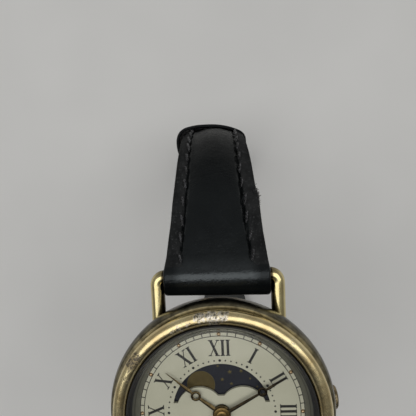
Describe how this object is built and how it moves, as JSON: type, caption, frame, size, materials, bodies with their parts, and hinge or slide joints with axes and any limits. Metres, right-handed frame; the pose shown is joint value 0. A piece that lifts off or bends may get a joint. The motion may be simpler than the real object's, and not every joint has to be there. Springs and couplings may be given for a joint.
{
  "type": "moon phase wristwatch",
  "caption": "Small round moon phase wristwatch with Roman dial, looped hands, wire lugs, fluted crown and an unbuckled padded leather strap.",
  "frame": {"origin": "centre of the case back's outer face", "axes": "+Z out of the dial towards the eye, +Y towards 12 o'clock, +X towards 3 o'clock and the crown; the strap hangs below the origin"},
  "size_m": [0.0261, 0.0694, 0.0491],
  "materials": {
    "case_bronze": "satin antique bronze plating, lighter gold where it is rubbed",
    "gold_worn": "polished gold plating, worn to silver grey in patches",
    "crystal_glass": "clear",
    "black_gasket": "matte",
    "rehaut": "satin grey green",
    "dial_cream": "matte, printed",
    "gold": "polished",
    "back_steel": "brushed",
    "holder_plastic": "moulded",
    "gold_wire": "polished plating",
    "steel_fine": "fine brushed",
    "plate_brass": "nickel tinted brass",
    "cell_steel": "drawn steel",
    "copper_coil": "enamelled copper wire",
    "board_green": "printed circuit",
    "black_resin": "moulded",
    "hand_dark_gold": "polished, bevelled",
    "hand_gold": "polished, bevelled",
    "wheel_brass": "fine turned",
    "wheel_plastic": "moulded",
    "magnet_grey": "sintered magnet",
    "moon_navy": "satin navy lacquer with printed moons and stars",
    "crown_bronze": "satin plating",
    "leather_black": "fine grain, semi matte, dark stitching",
    "leather_lining": "smooth matte dark grey"
  },
  "bodies": {
    "case": {"case_middle": "case_bronze", "bezel": "gold_worn", "crystal": "crystal_glass", "crystal_gasket": "black_gasket", "dial_ring": "rehaut", "dial": "dial_cream", "hour_pips": "gold", "case_back": "back_steel", "case_back_gasket": "black_gasket", "movement_holder": "holder_plastic", "wire_lug_12": "gold_wire", "wire_lug_6": "gold_wire", "crown_tube": "steel_fine", "main_plate": "plate_brass", "train_bridge": "steel_fine", "dial_spacer": "holder_plastic", "battery": "cell_steel", "battery_clamp": "steel_fine", "coil": "copper_coil", "coil_core": "steel_fine", "stator": "steel_fine", "circuit_board": "board_green", "ic_chip": "black_resin", "quartz_can": "cell_steel", "movement_screws": "steel_fine", "centre_tube": "plate_brass", "moon_jumper": "steel_fine"},
    "minute": {"minute_hand": "hand_dark_gold", "centre_wheel": "wheel_brass", "cannon_pinion": "steel_fine"},
    "hour": {"hour_hand": "hand_gold", "hour_wheel": "wheel_brass"},
    "minute_wheel": {"minute_wheel": "wheel_brass"},
    "setting_wheel": {"setting_wheel": "steel_fine"},
    "intermediate_wheel": {"intermediate_wheel": "wheel_plastic"},
    "rotor": {"rotor": "magnet_grey"},
    "day_wheel": {"day_wheel": "wheel_brass"},
    "moon_disc": {"moon_disc": "moon_navy"},
    "crown_slide": {"crown_gasket": "black_gasket"},
    "crown": {"crown": "crown_bronze", "winding_stem": "steel_fine"},
    "setting_lever": {"setting_lever": "steel_fine"},
    "yoke": {"yoke": "steel_fine"},
    "sliding_pinion": {"sliding_pinion": "steel_fine"},
    "strap_12": {"strap_12": "leather_black", "strap_12_lining": "leather_lining", "fixed_keeper": "leather_black"},
    "free_keeper": {"free_keeper": "leather_black"},
    "buckle": {"buckle_frame": "gold", "buckle_spring_bar": "steel_fine"},
    "tang": {"buckle_tang": "gold"},
    "strap_6": {"strap_6": "leather_black", "strap_6_lining": "leather_lining"}
  },
  "joints": [
    {"name": "minute_turn", "type": "hinge", "parent": "case", "child": "minute", "pos_m": [0, 0, 0.0056], "axis": [0, 0, 1], "continuous": true},
    {"name": "hour_turn", "type": "hinge", "parent": "case", "child": "hour", "pos_m": [0, 0, 0.0054], "axis": [0, 0, 1], "continuous": true},
    {"name": "minute_wheel_turn", "type": "hinge", "parent": "case", "child": "minute_wheel", "pos_m": [0.0024, 0, 0.0036], "axis": [0, 0, 1], "continuous": true},
    {"name": "setting_wheel_turn", "type": "hinge", "parent": "case", "child": "setting_wheel", "pos_m": [0.0052, 0, 0.0034], "axis": [0, 0, 1], "continuous": true},
    {"name": "intermediate_turn", "type": "hinge", "parent": "case", "child": "intermediate_wheel", "pos_m": [-0.00099, 0.00271, 0.0025], "axis": [0, 0, 1], "continuous": true},
    {"name": "rotor_turn", "type": "hinge", "parent": "case", "child": "rotor", "pos_m": [-0.00305, 0.0039, 0.0025], "axis": [0, 0, 1], "continuous": true},
    {"name": "day_turn", "type": "hinge", "parent": "case", "child": "day_wheel", "pos_m": [-0.00376, -0.00137, 0.0041], "axis": [0, 0, 1], "continuous": true},
    {"name": "moon_turn", "type": "hinge", "parent": "case", "child": "moon_disc", "pos_m": [0, 0, 0.0045], "axis": [0, 0, 1], "continuous": true},
    {"name": "crown_pull", "type": "slide", "parent": "case", "child": "crown_slide", "axis": [1, 0, 0], "range_m": [0, 0.0008]},
    {"name": "crown_turn", "type": "hinge", "parent": "crown_slide", "child": "crown", "pos_m": [0.0128, 0, 0.00245], "axis": [1, 0, 0], "continuous": true},
    {"name": "lever_swing", "type": "hinge", "parent": "case", "child": "setting_lever", "pos_m": [0.00912, -0.00215, 0.00245], "axis": [0, 0, 1], "range_deg": [-26.15, 0]},
    {"name": "yoke_shift", "type": "slide", "parent": "case", "child": "yoke", "axis": [1, 0, 0], "range_m": [-0.00048, 0]},
    {"name": "pinion_turn", "type": "hinge", "parent": "yoke", "child": "sliding_pinion", "pos_m": [0.0073, 0, 0.00245], "axis": [1, 0, 0], "continuous": true},
    {"name": "strap_12_swing", "type": "hinge", "parent": "case", "child": "strap_12", "pos_m": [0, 0.01495, 0.0026], "axis": [1, 0, 0], "range_deg": [-2.5, 110]},
    {"name": "keeper_slide", "type": "hinge", "parent": "strap_12", "child": "free_keeper", "pos_m": [0, 0.00645, -0.02292], "axis": [1, 0, 0], "range_deg": [0, 24]},
    {"name": "buckle_swing", "type": "hinge", "parent": "strap_12", "child": "buckle", "pos_m": [0, 0.017, -0.04042], "axis": [1, 0, 0], "range_deg": [-60, 20]},
    {"name": "tang_swing", "type": "hinge", "parent": "buckle", "child": "tang", "pos_m": [0, 0.017, -0.04042], "axis": [1, 0, 0], "range_deg": [0, 85]},
    {"name": "strap_6_swing", "type": "hinge", "parent": "case", "child": "strap_6", "pos_m": [0, -0.01495, 0.0026], "axis": [-1, 0, 0], "range_deg": [-2.5, 110]}
  ],
  "couplings": [
    {"joint": "hour_turn", "follows": "minute_turn", "ratio": 0.083333},
    {"joint": "minute_wheel_turn", "follows": "minute_turn", "ratio": -0.33333},
    {"joint": "setting_wheel_turn", "follows": "minute_turn", "ratio": 0.6},
    {"joint": "intermediate_turn", "follows": "minute_turn", "ratio": -8},
    {"joint": "rotor_turn", "follows": "minute_turn", "ratio": 60},
    {"joint": "day_turn", "follows": "minute_turn", "ratio": -0.041667},
    {"joint": "moon_turn", "follows": "minute_turn", "ratio": 0.00070621},
    {"joint": "lever_swing", "follows": "crown_pull", "rad_per_m": -570.31},
    {"joint": "yoke_shift", "follows": "crown_pull", "ratio": -0.6},
    {"joint": "pinion_turn", "follows": "crown_turn", "ratio": 1}
  ]
}
